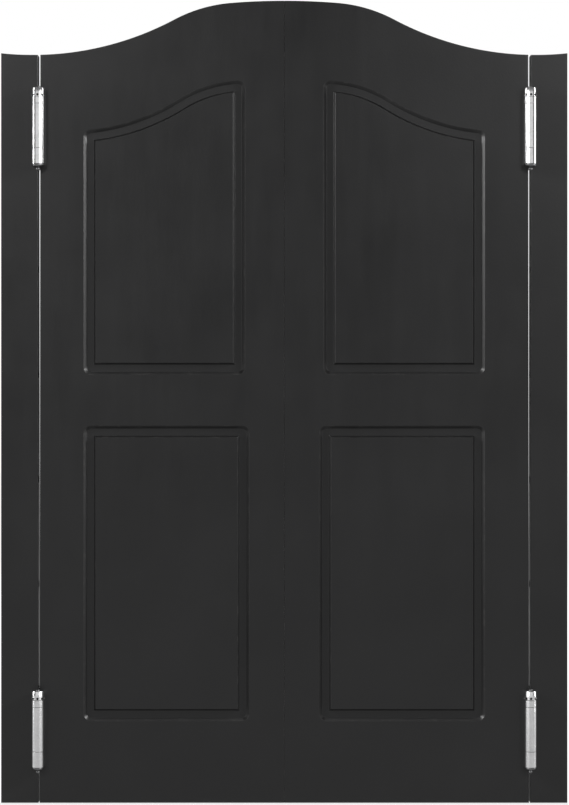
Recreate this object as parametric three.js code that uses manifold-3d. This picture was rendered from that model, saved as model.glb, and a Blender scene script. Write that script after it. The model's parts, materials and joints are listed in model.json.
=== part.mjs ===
// A pair of saloon doors (cafe or batwing doors) for a 762 mm opening.
//
// Two mirror-image leaves with arched tops hang between two mounting strips on four
// double-action spring hinges. Each hinge has a barrel in front, which lets the leaf
// open to the front, and a barrel behind, which lets it open to the back.
//
// Millimetres. X runs across the opening with 0 midway between the leaves, -Y is the
// front, +Z is up with 0 at the bottom edge of the leaves, and Y 0 is mid-thickness.

import * as THREE from 'three';
import { mergeVertices } from 'three/addons/utils/BufferGeometryUtils.js';
import Module from 'manifold-3d';

const wasm = await Module();
wasm.setup();

// ---------------------------------------------------------------- driving dimensions

// the pair as a whole
const OVERALL_WIDTH = 754;
const CROWN_HEIGHT = 1068;
const BOARD_THICKNESS = 22;
const STRIP_WIDTH = 48.8;
const MEETING_EDGE_RADIUS = 25;
const MEETING_CLEARANCE = 0.1;

// the arched top: a flat crown, a round shoulder and a hollow flank, all tangent
const ARCH = { crown: 880, crownTurn: 4.6, shoulder: 195, shoulderTurn: 28, flank: 402 };

// the routed panels, measured to the edge of the raised field
const UPPER_STILE_AT_MEETING = 67.4;
const LOWER_STILE_AT_MEETING = 61.7;
const STILE_AT_HINGE = 72.8;
const BOTTOM_RAIL = 124.9;
const LOWER_FIELD_HEIGHT = 361.4;
const MIDDLE_RAIL = 99.7;
const TOP_RAIL_AT_CROWN = 120;
const PANEL_ARCH = { crown: 900, crownTurn: 4, shoulder: 152, shoulderTurn: 32, flank: 293 };

// the groove around each field: a sloping outer wall, a flat floor, a steep inner wall
const GROOVE_DEPTH = 4.5;
const GROOVE_OUTER_SLOPE = 4;
const GROOVE_FLOOR = 9.5;
const GROOVE_INNER_SLOPE = 2.4;
const GROOVE_CORNER_RADIUS = 9;

// the hinges
const LOWER_HINGE_RISE = 49.4;  // from the leaf's bottom edge to the lower hinge's plates
const UPPER_HINGE_DROP = 44.8;  // from the leaf's outer top corner to the hinge's collars
const BARREL_RADIUS = 8.2;
const BARREL_WALL = 1.3;
const BOTTOM_KNUCKLE = 20.5;
const SLEEVE = 58.6;
const TOP_KNUCKLE = 8.5;
const COLLAR = 12.6;
const COLLAR_CHAMFER = 1.4;
const PLATE_THICKNESS = 1.1;
const PLATE_CORNER_RADIUS = 3;
const SCREW_HOLE_RADIUS = 2.1;
const SCREW_HEAD_RADIUS = 3.7;
const SCREWS_PER_PLATE = 3;

// inside each barrel
const SPINDLE_RADIUS = 3;
const SPINDLE_TIP = 2.2;
const SPRING_WIRE_RADIUS = 0.85;
const SPRING_TURNS = 8;
const COLLAR_HOLES = 8;
const COLLAR_HOLE_RADIUS = 1.35;
const COLLAR_HOLE_DEPTH = 2.6;
const COLLAR_HOLE_RISE = 2.4;
const CROSS_PIN_RADIUS = 1.05;
const CROSS_PIN_STAND_OUT = 0.3;
const BUTTON_HEIGHT = 9;

// the screws that hold each strip to the side of the opening
const STRIP_SCREWS = 4;
const STRIP_HOLE_RADIUS = 2.75;
const STRIP_COUNTERSINK_RADIUS = 5.2;

// clearances
const SEAT = 0.1;            // a plate lying on the wood
const RUNNING = 0.35;        // two plates that turn past each other
const SEAM = 0.4;            // between knuckle, sleeve and collar on one barrel
const BARREL_TO_FACE = 0.5;  // a barrel and the face of a board
const BORE_PLAY = 0.35;      // what turns or sits inside a bore

// how round the faceted curves are
const BARREL_SIDES = 20;
const SMALL_SIDES = 8;
const ARC_STEPS = { crown: 3, shoulder: 6, flank: 8, corner: 3, meeting: 8 };

// ------------------------------------------------------------------ derived dimensions

const HALF_WIDTH = OVERALL_WIDTH / 2;
const FACE = BOARD_THICKNESS / 2;
const SIDE_GAP = 2 * SEAT + 3 * PLATE_THICKNESS + 2 * RUNNING;
const STRIP_EDGE = HALF_WIDTH - STRIP_WIDTH;
const LEAF_EDGE = STRIP_EDGE - SIDE_GAP;

// a barrel's axis is midway between the two plates that wrap round it
const PLATE_PITCH = PLATE_THICKNESS + RUNNING;
const FRONT_AXIS = STRIP_EDGE - SEAT - PLATE_THICKNESS - RUNNING / 2;
const BACK_AXIS = FRONT_AXIS - PLATE_PITCH;
const AXIS_DEPTH = FACE + BARREL_RADIUS + BARREL_TO_FACE;
const BORE_RADIUS = BARREL_RADIUS - BARREL_WALL;

const SLEEVE_BOTTOM = BOTTOM_KNUCKLE + SEAM;
const TOP_KNUCKLE_BOTTOM = SLEEVE_BOTTOM + SLEEVE + SEAM;
const PLATE_HEIGHT = TOP_KNUCKLE_BOTTOM + TOP_KNUCKLE;
const COLLAR_BOTTOM = PLATE_HEIGHT + SEAM;
const COLLAR_HOLE_LEVEL = COLLAR_BOTTOM + COLLAR_HOLE_RISE;
const HINGE_HEIGHT = COLLAR_BOTTOM + COLLAR;

// Each leaf turns about an axis in front of it or behind it, so its crowned meeting edge
// reaches past its closed place as it swings. The half gap between the leaves covers that
// reach, so that both can be pushed open together.
const SWING_WIDTH = FRONT_AXIS - MEETING_EDGE_RADIUS;
const SWING_REACH = Math.hypot(SWING_WIDTH, AXIS_DEPTH) - SWING_WIDTH;
const HALF_MEETING_GAP = SWING_REACH + MEETING_CLEARANCE;

// ------------------------------------------------------------------------- materials

const paint = () => new THREE.MeshStandardMaterial({ color: 0x2a2a2b, roughness: 0.5 });
const steel = () =>
  new THREE.MeshStandardMaterial({ color: 0xc9cacb, roughness: 0.3, metalness: 1 });
const darkSteel = () =>
  new THREE.MeshStandardMaterial({ color: 0x6a6b6d, roughness: 0.45, metalness: 1 });

// ------------------------------------------------------------------- solids and cuts

function toSolid(geometry) {
  const bare = geometry.clone();
  bare.deleteAttribute('normal');
  bare.deleteAttribute('uv');
  const merged = mergeVertices(bare, 1e-4);
  return new wasm.Manifold(new wasm.Mesh({
    numProp: 3,
    vertProperties: new Float32Array(merged.attributes.position.array),
    triVerts: new Uint32Array(merged.index.array),
  }));
}

function toGeometry(solid) {
  const mesh = solid.getMesh();
  const geometry = new THREE.BufferGeometry();
  geometry.setAttribute('position', new THREE.BufferAttribute(mesh.vertProperties, 3));
  geometry.setIndex(new THREE.BufferAttribute(mesh.triVerts, 1));
  geometry.computeVertexNormals();
  return geometry;
}

const box = (x0, x1, y0, y1, z0, z1) =>
  toSolid(new THREE.BoxGeometry(x1 - x0, y1 - y0, z1 - z0)
    .translate((x0 + x1) / 2, (y0 + y1) / 2, (z0 + z1) / 2));

// an upright round bar on the Z axis
const uprightBar = (radius, z0, z1, sides) =>
  toSolid(new THREE.CylinderGeometry(radius, radius, z1 - z0, sides)
    .rotateX(Math.PI / 2)
    .translate(0, 0, (z0 + z1) / 2));

// a round or tapering bar along X, from one radius at x0 to another at x1
const barAlongX = (radius0, radius1, x0, x1, sides) =>
  toSolid(new THREE.CylinderGeometry(radius1, radius0, x1 - x0, sides)
    .rotateZ(-Math.PI / 2)
    .translate((x0 + x1) / 2, 0, 0));

// a front-view outline, points in (x, z), raised from y0 to y1
function frontExtrusion(points, y0, y1) {
  const shape = new THREE.Shape(points);
  const geometry = new THREE.ExtrudeGeometry(shape, { depth: y1 - y0, bevelEnabled: false });
  return toSolid(geometry.rotateX(Math.PI / 2).translate(0, y1, 0));
}

// a plan-view outline, points in (x, y), raised from z0 to z1
function planExtrusion(points, z0, z1) {
  const shape = new THREE.Shape(points);
  const geometry = new THREE.ExtrudeGeometry(shape, { depth: z1 - z0, bevelEnabled: false });
  return toSolid(geometry.translate(0, 0, z0));
}

// points of an arc, angles in degrees, both ends included
function arc(cx, cy, radius, from, to, steps) {
  return Array.from({ length: steps + 1 }, (_, i) => {
    const angle = THREE.MathUtils.degToRad(from + ((to - from) * i) / steps);
    return new THREE.Vector2(cx + radius * Math.cos(angle), cy + radius * Math.sin(angle));
  });
}

// ------------------------------------------------------------------- the arched curve

// The curve falls from its crown at distance 0 from the centre line. `grow` moves it
// square to itself, so a groove's walls keep their width all along.
function archArcs(arch, crownHeight, grow = 0) {
  const turn1 = THREE.MathUtils.degToRad(arch.crownTurn);
  const turn2 = THREE.MathUtils.degToRad(arch.shoulderTurn);
  const crownCentre = new THREE.Vector2(0, crownHeight - arch.crown);
  const shoulderCentre = new THREE.Vector2(Math.sin(turn1), Math.cos(turn1))
    .multiplyScalar(arch.crown - arch.shoulder)
    .add(crownCentre);
  const flankCentre = new THREE.Vector2(Math.sin(turn2), Math.cos(turn2))
    .multiplyScalar(arch.shoulder + arch.flank)
    .add(shoulderCentre);
  return [
    { centre: crownCentre, radius: arch.crown + grow, side: 1, steps: ARC_STEPS.crown,
      end: crownCentre.x + (arch.crown + grow) * Math.sin(turn1) },
    { centre: shoulderCentre, radius: arch.shoulder + grow, side: 1,
      steps: ARC_STEPS.shoulder,
      end: shoulderCentre.x + (arch.shoulder + grow) * Math.sin(turn2) },
    { centre: flankCentre, radius: arch.flank - grow, side: -1, steps: ARC_STEPS.flank,
      end: Infinity },
  ];
}

// points of the curve between two distances from the centre line, as (distance, z)
function archPoints(arcs, from, to) {
  const points = [];
  let start = from;
  for (const { centre, radius, side, steps, end } of arcs) {
    const stop = Math.min(end, to);
    if (stop <= start) continue;
    for (let i = points.length ? 1 : 0; i <= steps; i += 1) {
      const d = start + ((stop - start) * i) / steps;
      const rise = Math.sqrt(radius ** 2 - (d - centre.x) ** 2);
      points.push(new THREE.Vector2(d, centre.y + side * rise));
    }
    start = stop;
  }
  return points;
}

const TOP_EDGE = archArcs(ARCH, CROWN_HEIGHT);
const LEAF_CORNER_HEIGHT = archPoints(TOP_EDGE, LEAF_EDGE - 1, LEAF_EDGE).at(-1).y;
const HINGE_BOTTOMS = {
  upper: LEAF_CORNER_HEIGHT - UPPER_HINGE_DROP - HINGE_HEIGHT,
  lower: LOWER_HINGE_RISE,
};
const mirrored = (points, side) => points.map((p) => new THREE.Vector2(side * p.x, p.y));

// ------------------------------------------------------------------------ leaf boards

// a panel's outline, `grow` outside its raised field, with corners rounded by `radius`
function panelOutline({ bottom, crown, stile, arched }, grow, radius) {
  const inner = HALF_MEETING_GAP + stile - grow;
  const outer = LEAF_EDGE - STILE_AT_HINGE + grow;
  const low = bottom - grow;
  const steps = radius > 0 ? ARC_STEPS.corner : 0;
  const corner = (x, y, from) =>
    steps ? arc(x, y, radius, from, from + 90, steps) : [new THREE.Vector2(x, y)];
  const feet = [
    ...corner(inner + radius, low + radius, 180),
    ...corner(outer - radius, low + radius, 270),
  ];
  if (arched) {
    return [...feet, ...archPoints(archArcs(PANEL_ARCH, crown, grow), inner, outer).reverse()];
  }
  const high = crown + grow;
  return [
    ...feet,
    ...corner(outer - radius, high - radius, 0),
    ...corner(inner + radius, high - radius, 90),
  ];
}

// what the router takes out round one panel, in the front face (Y = -FACE)
function grooveCutter(panel, side) {
  const bevelled = (points, size) => new THREE.ExtrudeGeometry(
    new THREE.Shape(mirrored(points, side)),
    { depth: 1, bevelThickness: GROOVE_DEPTH, bevelSize: size, bevelSegments: 1 },
  );
  const floorEdge = GROOVE_INNER_SLOPE + GROOVE_FLOOR;
  const hollow = bevelled(
    panelOutline(panel, floorEdge, GROOVE_CORNER_RADIUS - GROOVE_OUTER_SLOPE),
    GROOVE_OUTER_SLOPE,
  );
  const island = bevelled(panelOutline(panel, 0, 0), GROOVE_INNER_SLOPE)
    .translate(0, 0, -1 - GROOVE_DEPTH);
  return toSolid(hollow.rotateX(Math.PI / 2).translate(0, -FACE, 0))
    .subtract(toSolid(island.rotateX(Math.PI / 2).translate(0, -FACE, 0)));
}

const LOWER_FIELD_TOP = BOTTOM_RAIL + LOWER_FIELD_HEIGHT;
const PANELS = [
  {
    bottom: LOWER_FIELD_TOP + MIDDLE_RAIL,
    crown: CROWN_HEIGHT - TOP_RAIL_AT_CROWN,
    stile: UPPER_STILE_AT_MEETING,
    arched: true,
  },
  {
    bottom: BOTTOM_RAIL,
    crown: LOWER_FIELD_TOP,
    stile: LOWER_STILE_AT_MEETING,
    arched: false,
  },
];

function leaf(side) {
  const outline = mirrored([
    new THREE.Vector2(HALF_MEETING_GAP, 0),
    new THREE.Vector2(LEAF_EDGE, 0),
    ...archPoints(TOP_EDGE, HALF_MEETING_GAP, LEAF_EDGE).reverse(),
  ], side);
  const r = MEETING_EDGE_RADIUS;
  const lip = THREE.MathUtils.radToDeg(Math.asin(FACE / r));
  const plan = mirrored([
    new THREE.Vector2(LEAF_EDGE + 1, -FACE),
    new THREE.Vector2(LEAF_EDGE + 1, FACE),
    ...arc(HALF_MEETING_GAP + r, 0, r, 180 - lip, 180 + lip, ARC_STEPS.meeting),
  ], side);
  let board = frontExtrusion(outline, -FACE - 1, FACE + 1)
    .intersect(planExtrusion(plan, -1, CROWN_HEIGHT + 1));
  for (const panel of PANELS) {
    board = board.subtract(grooveCutter(panel, side));
    board = board.subtract(grooveCutter(panel, -side).rotate([0, 0, 180]));
  }
  return toGeometry(board);
}

// --------------------------------------------------------------------- mounting strips

// the strip screws are spread evenly between the two hinges
function stripHoleLevels() {
  const low = HINGE_BOTTOMS.lower + HINGE_HEIGHT;
  const pitch = (HINGE_BOTTOMS.upper - low) / (STRIP_SCREWS + 1);
  return Array.from({ length: STRIP_SCREWS }, (_, i) => low + pitch * (i + 1));
}

function strip(side) {
  const outline = mirrored([
    new THREE.Vector2(STRIP_EDGE, 0),
    new THREE.Vector2(HALF_WIDTH, 0),
    ...archPoints(TOP_EDGE, STRIP_EDGE, HALF_WIDTH).reverse(),
  ], side);
  let board = frontExtrusion(outline, -FACE, FACE);
  const sink = STRIP_COUNTERSINK_RADIUS;
  const drill = barAlongX(STRIP_HOLE_RADIUS, STRIP_HOLE_RADIUS, -1, STRIP_WIDTH + 1, 12)
    .add(barAlongX(sink, 0, 0, sink, 12))
    .add(barAlongX(sink, sink, -1, 0, 12));
  for (const z of stripHoleLevels()) {
    const cut = side > 0 ? drill : drill.rotate([0, 0, 180]);
    board = board.subtract(cut.translate([side * STRIP_EDGE, 0, z]));
  }
  return toGeometry(board);
}

// ----------------------------------------------------------------------- hinge plates
// Hinge pieces are made for the right-hand side of the pair, seen from the front, with
// the hinge's bottom at Z 0. The left-hand ones are the same pieces mirrored.

function tube(axisX, axisY, z0, z1) {
  const bar = uprightBar(BARREL_RADIUS, z0, z1, BARREL_SIDES);
  const bore = uprightBar(BORE_RADIUS, z0 - 1, z1 + 1, BARREL_SIDES);
  return bar.subtract(bore).translate([axisX, axisY, 0]);
}

// The plate's flat part, which lies in the gap between strip and leaf. Its corners away
// from the barrel are rounded; `reach` is how far it goes from mid-thickness.
function flatPlate(x0, near, reach) {
  const r = PLATE_CORNER_RADIUS;
  const outline = [
    new THREE.Vector2(near, 0),
    ...arc(reach - r, r, r, 270, 360, ARC_STEPS.corner),
    ...arc(reach - r, PLATE_HEIGHT - r, r, 0, 90, ARC_STEPS.corner),
    new THREE.Vector2(near, PLATE_HEIGHT),
  ];
  const geometry = new THREE.ExtrudeGeometry(
    new THREE.Shape(outline),
    { depth: PLATE_THICKNESS, bevelEnabled: false },
  );
  // the outline's (y, z) plane is turned to stand across X
  geometry.rotateX(Math.PI / 2).rotateZ(Math.PI / 2);
  return toSolid(geometry.translate(x0, 0, 0));
}

// how far the necks reach into a barrel's wall, and where the flat parts must stop
const NECK_END = AXIS_DEPTH - BARREL_RADIUS + BARREL_WALL / 2;
const FLAT_END = FACE + BARREL_TO_FACE - RUNNING;
const PLATE_REACH = FACE - 2;

// countersunk screw holes in a zigzag, the heads on the side that faces the gap
function screwHolePoints() {
  return Array.from({ length: SCREWS_PER_PLATE }, (_, i) => ({
    y: (i % 2 ? 1 : -1) * (PLATE_REACH / 2 - 0.3),
    z: (PLATE_HEIGHT * (i + 0.5)) / SCREWS_PER_PLATE,
  }));
}

// The plate on the strip: a flat part, and knuckles at the top and bottom of the front
// barrel. `x0` is its inner face, away from the wood.
function screwedFlange(axisX, x0) {
  const x1 = x0 + PLATE_THICKNESS;
  let plate = flatPlate(x0, -FLAT_END, PLATE_REACH);
  for (const [z0, z1] of [[0, BOTTOM_KNUCKLE], [TOP_KNUCKLE_BOTTOM, PLATE_HEIGHT]]) {
    plate = plate
      .add(tube(axisX, -AXIS_DEPTH, z0, z1))
      .add(box(x0, x1, -NECK_END, -FLAT_END + 1, z0, z1));
  }
  for (const { y, z } of screwHolePoints()) {
    const hole = barAlongX(SCREW_HEAD_RADIUS, SCREW_HOLE_RADIUS, -0.01, PLATE_THICKNESS, 10)
      .add(barAlongX(SCREW_HOLE_RADIUS, SCREW_HOLE_RADIUS, -1, PLATE_THICKNESS + 1, 10));
    plate = plate.subtract(hole.translate([x0, y, z]));
  }
  return plate;
}

const jambFlange = () => screwedFlange(FRONT_AXIS, FRONT_AXIS + RUNNING / 2);

// The plate on the leaf is the same pressing turned end for end about the middle of the
// gap, so that its knuckles are on the back barrel.
function doorFlange() {
  const middle = (FRONT_AXIS + BACK_AXIS) / 2;
  return jambFlange().rotate([0, 0, 180]).translate([2 * middle, 0, 0]);
}

// the plate between them, with a sleeve on each barrel and no screws
function centreFlange() {
  const x0 = FRONT_AXIS - RUNNING / 2 - PLATE_THICKNESS;
  const x1 = x0 + PLATE_THICKNESS;
  const z1 = SLEEVE_BOTTOM + SLEEVE;
  return box(x0, x1, -FLAT_END, FLAT_END, 0, PLATE_HEIGHT)
    .add(box(x0, x1, -NECK_END, NECK_END, SLEEVE_BOTTOM, z1))
    .add(tube(FRONT_AXIS, -AXIS_DEPTH, SLEEVE_BOTTOM, z1))
    .add(tube(BACK_AXIS, AXIS_DEPTH, SLEEVE_BOTTOM, z1));
}

// --------------------------------------------------------------- inside of each barrel
// These are made on the Z axis and moved to their barrel.

const BUTTON_SHANK = 5;
const SPINDLE_BOTTOM = BUTTON_SHANK + BORE_PLAY;
const SPINDLE_TOP = HINGE_HEIGHT + SPINDLE_TIP;

// The spindle runs from the button to a domed tip above the collar.
function spindle() {
  const r = SPINDLE_RADIUS;
  const profile = [
    new THREE.Vector2(0, SPINDLE_BOTTOM),
    new THREE.Vector2(r, SPINDLE_BOTTOM),
    new THREE.Vector2(r, SPINDLE_TOP - 0.8),
    new THREE.Vector2(r - 0.8, SPINDLE_TOP),
    new THREE.Vector2(0, SPINDLE_TOP),
  ];
  const bar = toSolid(new THREE.LatheGeometry(profile, 12).rotateX(Math.PI / 2));
  const hole = CROSS_PIN_RADIUS + BORE_PLAY / 2;
  return bar.subtract(barAlongX(hole, hole, -r - 1, r + 1, SMALL_SIDES)
    .translate([0, 0, COLLAR_HOLE_LEVEL]));
}

class Helix extends THREE.Curve {
  constructor(radius, z0, z1, turns) {
    super();
    Object.assign(this, { radius, z0, z1, turns });
  }

  getPoint(t, target = new THREE.Vector3()) {
    const angle = 2 * Math.PI * this.turns * t;
    const z = this.z0 + (this.z1 - this.z0) * t;
    return target.set(this.radius * Math.cos(angle), this.radius * Math.sin(angle), z);
  }
}

// The closing spring fills the ring between spindle and barrel. It winds up as its
// barrel opens. The coil is drawn with fewer turns than the wire really has.
function spring() {
  const radius = (SPINDLE_RADIUS + BORE_RADIUS) / 2;
  const low = SPINDLE_BOTTOM + 2 * SPRING_WIRE_RADIUS;
  const high = PLATE_HEIGHT - 2 * SPRING_WIRE_RADIUS;
  const section = new THREE.Shape(arc(0, 0, SPRING_WIRE_RADIUS, 0, 270, 3));
  const geometry = new THREE.ExtrudeGeometry(section, {
    steps: SPRING_TURNS * 7,
    extrudePath: new Helix(radius, low, high, SPRING_TURNS),
  });
  return toSolid(geometry);
}

// The tension collar: a tommy bar in one of its holes winds the spring. The cross pin
// ties it to the spindle.
function collar() {
  const top = HINGE_HEIGHT;
  const r = BARREL_RADIUS;
  const bore = SPINDLE_RADIUS + BORE_PLAY;
  const profile = [
    new THREE.Vector2(bore, COLLAR_BOTTOM),
    new THREE.Vector2(r, COLLAR_BOTTOM),
    new THREE.Vector2(r, top - COLLAR_CHAMFER),
    new THREE.Vector2(r - COLLAR_CHAMFER, top),
    new THREE.Vector2(bore, top),
    new THREE.Vector2(bore, COLLAR_BOTTOM),
  ];
  let ring = toSolid(new THREE.LatheGeometry(profile, BARREL_SIDES).rotateX(Math.PI / 2));
  const through = CROSS_PIN_RADIUS + BORE_PLAY / 2;
  ring = ring.subtract(barAlongX(through, through, -r - 1, r + 1, SMALL_SIDES)
    .translate([0, 0, COLLAR_HOLE_LEVEL]));
  for (let i = 0; i < COLLAR_HOLES; i += 1) {
    if (i % (COLLAR_HOLES / 2) === 0) continue;
    const hole = barAlongX(
      COLLAR_HOLE_RADIUS, COLLAR_HOLE_RADIUS, r - COLLAR_HOLE_DEPTH, r + 1, 6);
    ring = ring.subtract(hole
      .translate([0, 0, COLLAR_HOLE_LEVEL])
      .rotate([0, 0, (360 * i) / COLLAR_HOLES]));
  }
  return ring;
}

function crossPin() {
  const half = BARREL_RADIUS + CROSS_PIN_STAND_OUT;
  return barAlongX(CROSS_PIN_RADIUS, CROSS_PIN_RADIUS, -half, half, SMALL_SIDES)
    .translate([0, 0, COLLAR_HOLE_LEVEL]);
}

// the domed button that closes the foot of the barrel, with a shank inside the knuckle
function button() {
  const shank = BORE_RADIUS - BORE_PLAY;
  const head = BARREL_RADIUS - 0.4;
  const profile = [
    new THREE.Vector2(0, -BUTTON_HEIGHT),
    new THREE.Vector2(head * 0.28, -BUTTON_HEIGHT * 0.93),
    new THREE.Vector2(head * 0.42, -BUTTON_HEIGHT * 0.62),
    new THREE.Vector2(head * 0.78, -BUTTON_HEIGHT * 0.42),
    new THREE.Vector2(head, -BUTTON_HEIGHT * 0.12),
    new THREE.Vector2(head, -SEAM),
    new THREE.Vector2(shank, -SEAM),
    new THREE.Vector2(shank, BUTTON_SHANK),
    new THREE.Vector2(0, BUTTON_SHANK),
  ];
  return toSolid(new THREE.LatheGeometry(profile, 16).rotateX(Math.PI / 2));
}

// --------------------------------------------------------------------------- assembly

const pair = new THREE.Group();

function place(name, geometry, material, position = [0, 0, 0]) {
  const mesh = new THREE.Mesh(geometry, material);
  mesh.name = name;
  mesh.position.set(...position);
  pair.add(mesh);
}

// a hinge piece on its side of the pair
const onSide = (solid, side) => toGeometry(side > 0 ? solid : solid.mirror([1, 0, 0]));

const PLATES = { jamb_flange: jambFlange, centre_flange: centreFlange, door_flange: doorFlange };
const BARREL_PIECES = {
  spindle: [spindle, darkSteel],
  spring: [spring, darkSteel],
  collar: [collar, steel],
  cross_pin: [crossPin, steel],
  button: [button, darkSteel],
};
const BARRELS = { front: [FRONT_AXIS, -AXIS_DEPTH], back: [BACK_AXIS, AXIS_DEPTH] };

for (const [sideName, side] of [['left', -1], ['right', 1]]) {
  place(`${sideName}_jamb_strip`, strip(side), paint());
  place(`${sideName}_door_leaf`, leaf(side), paint());
  for (const [level, bottom] of Object.entries(HINGE_BOTTOMS)) {
    const hinge = `${sideName}_${level}`;
    for (const [name, make] of Object.entries(PLATES)) {
      place(`${hinge}_${name}`, onSide(make(), side), steel(), [0, 0, bottom]);
    }
    for (const [barrel, [axisX, axisY]] of Object.entries(BARRELS)) {
      for (const [name, [make, material]] of Object.entries(BARREL_PIECES)) {
        const position = [side * axisX, axisY, bottom];
        place(`${hinge}_${barrel}_${name}`, onSide(make(), side), material(), position);
      }
    }
  }
}

export default pair;
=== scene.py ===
# %% [markdown]
# # A pair of saloon doors
#
# Two arched leaves of routed board, painted satin black, swing between two narrow
# mounting strips on four double-action spring hinges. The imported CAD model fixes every
# size and every joint. This lesson builds the finer pieces over it: boards with eased
# edges and routed grooves, hinge plates rolled from sheet, turned collars and screws.
#
# Everything is in metres. X runs to the right, -Y is the front and +Z is up. Each piece
# keeps its object at the origin and has its place in its mesh.

# %% The frame and its box
import json
import math

import bmesh
import bpy
from mathutils import Matrix, Vector

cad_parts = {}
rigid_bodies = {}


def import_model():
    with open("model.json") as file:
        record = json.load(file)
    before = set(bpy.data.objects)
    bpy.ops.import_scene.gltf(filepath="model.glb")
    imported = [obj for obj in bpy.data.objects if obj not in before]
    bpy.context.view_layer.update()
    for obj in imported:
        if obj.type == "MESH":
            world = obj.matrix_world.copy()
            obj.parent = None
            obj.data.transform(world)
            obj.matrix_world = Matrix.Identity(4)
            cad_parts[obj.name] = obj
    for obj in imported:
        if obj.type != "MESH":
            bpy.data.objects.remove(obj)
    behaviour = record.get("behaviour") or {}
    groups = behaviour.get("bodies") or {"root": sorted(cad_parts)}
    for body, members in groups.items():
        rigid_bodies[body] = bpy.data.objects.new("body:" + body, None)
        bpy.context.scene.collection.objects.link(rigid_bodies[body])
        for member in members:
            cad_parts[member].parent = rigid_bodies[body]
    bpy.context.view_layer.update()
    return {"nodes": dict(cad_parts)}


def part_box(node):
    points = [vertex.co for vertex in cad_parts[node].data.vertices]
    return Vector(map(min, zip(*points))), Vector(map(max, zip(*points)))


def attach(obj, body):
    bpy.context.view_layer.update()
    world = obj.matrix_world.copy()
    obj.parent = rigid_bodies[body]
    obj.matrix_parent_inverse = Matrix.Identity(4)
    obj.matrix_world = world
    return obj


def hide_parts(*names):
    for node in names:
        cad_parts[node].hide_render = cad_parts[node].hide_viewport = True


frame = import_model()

# %% [markdown]
# ## The sizes
#
# The boards' places come from the boxes of the CAD nodes. The sizes inside a piece, such
# as a groove's profile or a plate's thickness, repeat the ones that the CAD was driven by,
# so the two models agree without any fitting.

# %% Sizes of the boards and the hinges
MM = 0.001
SIDES = {"left": -1, "right": 1}
LEVELS = ("upper", "lower")

leaf_low, leaf_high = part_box("right_door_leaf")
strip_low, strip_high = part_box("right_jamb_strip")
LEAF_IN, LEAF_OUT, FACE = leaf_low.x, leaf_high.x, leaf_high.y
STRIP_IN, STRIP_OUT = strip_low.x, strip_high.x
CROWN = leaf_high.z

# the painted boards' edges stand a little off the bare ones: those at a side gap lean, and
# the crowned meeting edges come together until they all but touch
HAIRLINE = 0.005 * MM
LEAF_EDGE = LEAF_OUT + 0.75 * MM
STRIP_EDGE = STRIP_IN + 0.25 * MM
LEAN = 1.05 * MM  # how much further into the gap each edge stands at the foot
PLATE_BED = 0.05 * MM  # from a bare board's edge to the bed that its plates lie on
BED_PLAY = 0.2 * MM  # how far a bed runs on past each end of its plate
BED_SLOPE = 0.3 * MM  # the height of the slope at each end of a bed

front_low, front_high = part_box("right_upper_front_collar")
back_low, back_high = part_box("right_upper_back_collar")
BARREL_RADIUS = (front_high.y - front_low.y) / 2
FRONT_AXIS = Vector((
    (front_low.x + front_high.x) / 2, (front_low.y + front_high.y) / 2, 0))
BACK_AXIS = Vector((
    (back_low.x + back_high.x) / 2, (back_low.y + back_high.y) / 2, 0))
HINGE_BOTTOMS = {
    level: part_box(f"right_{level}_jamb_flange")[0].z for level in LEVELS}

# the arched top edge: a flat crown, a round shoulder and a hollow flank (radii, turns)
ARCH = (880 * MM, 4.6, 195 * MM, 28, 402 * MM)
PANEL_ARCH = (900 * MM, 4, 152 * MM, 32, 293 * MM)

# levels along one hinge, from the foot of its plates
BOTTOM_KNUCKLE = 20.5 * MM
SLEEVE_BOTTOM = 20.9 * MM
SLEEVE_TOP = 79.5 * MM
TOP_KNUCKLE = 79.9 * MM
PLATE_HEIGHT = 88.4 * MM
COLLAR_BOTTOM = 88.8 * MM
COLLAR_TOP = 101.4 * MM
COLLAR_HOLES = COLLAR_BOTTOM + 2.4 * MM
PLATE = 1.1 * MM

print("leaf from", round(LEAF_IN, 4), "to", round(LEAF_OUT, 4))
print("barrel radius", round(BARREL_RADIUS, 4), "axis", tuple(FRONT_AXIS))
print("hinge bottoms", {k: round(v, 4) for k, v in HINGE_BOTTOMS.items()})

# %% [markdown]
# ## The camera
#
# The camera faces the doors square on, from three metres, level with the middle of their
# height. A long lens at that distance shows the rims of the barrels nearly edge on. The
# lens is worked out from how much height the view takes in at the doors' face.

# %% Camera
CAMERA_DISTANCE = 3.0
CAMERA_HEIGHT = 0.533
VIEW_HEIGHT = 1.0717
camera_data = bpy.data.cameras.new("camera")
camera_data.sensor_width = 36
camera_data.lens = 36 * CAMERA_DISTANCE / VIEW_HEIGHT
camera = bpy.data.objects.new("camera", camera_data)
camera.location = (0.0003, -FACE - CAMERA_DISTANCE, CAMERA_HEIGHT)
camera.rotation_euler = (math.pi / 2, 0, 0)
bpy.context.collection.objects.link(camera)
bpy.context.scene.camera = camera
print("lens", round(camera_data.lens, 1), "mm")

# %% [markdown]
# ## Small helpers for materials
#
# A procedural material is a chain of nodes. These helpers add a node, set its values and
# wire it in one line, so that each material below reads as a short recipe. A group's
# sockets are made through its interface, as Blender 4.5 asks.

# %% Helpers for nodes and groups
def node(tree, kind, wires=None, **settings):
    """Adds a node, sets its properties, and feeds its inputs with values or sockets."""
    made = tree.nodes.new(kind)
    for name, value in settings.items():
        setattr(made, name, value)
    for name, value in (wires or {}).items():
        if isinstance(value, bpy.types.NodeSocket):
            tree.links.new(value, made.inputs[name])
        else:
            made.inputs[name].default_value = value
    return made


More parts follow.
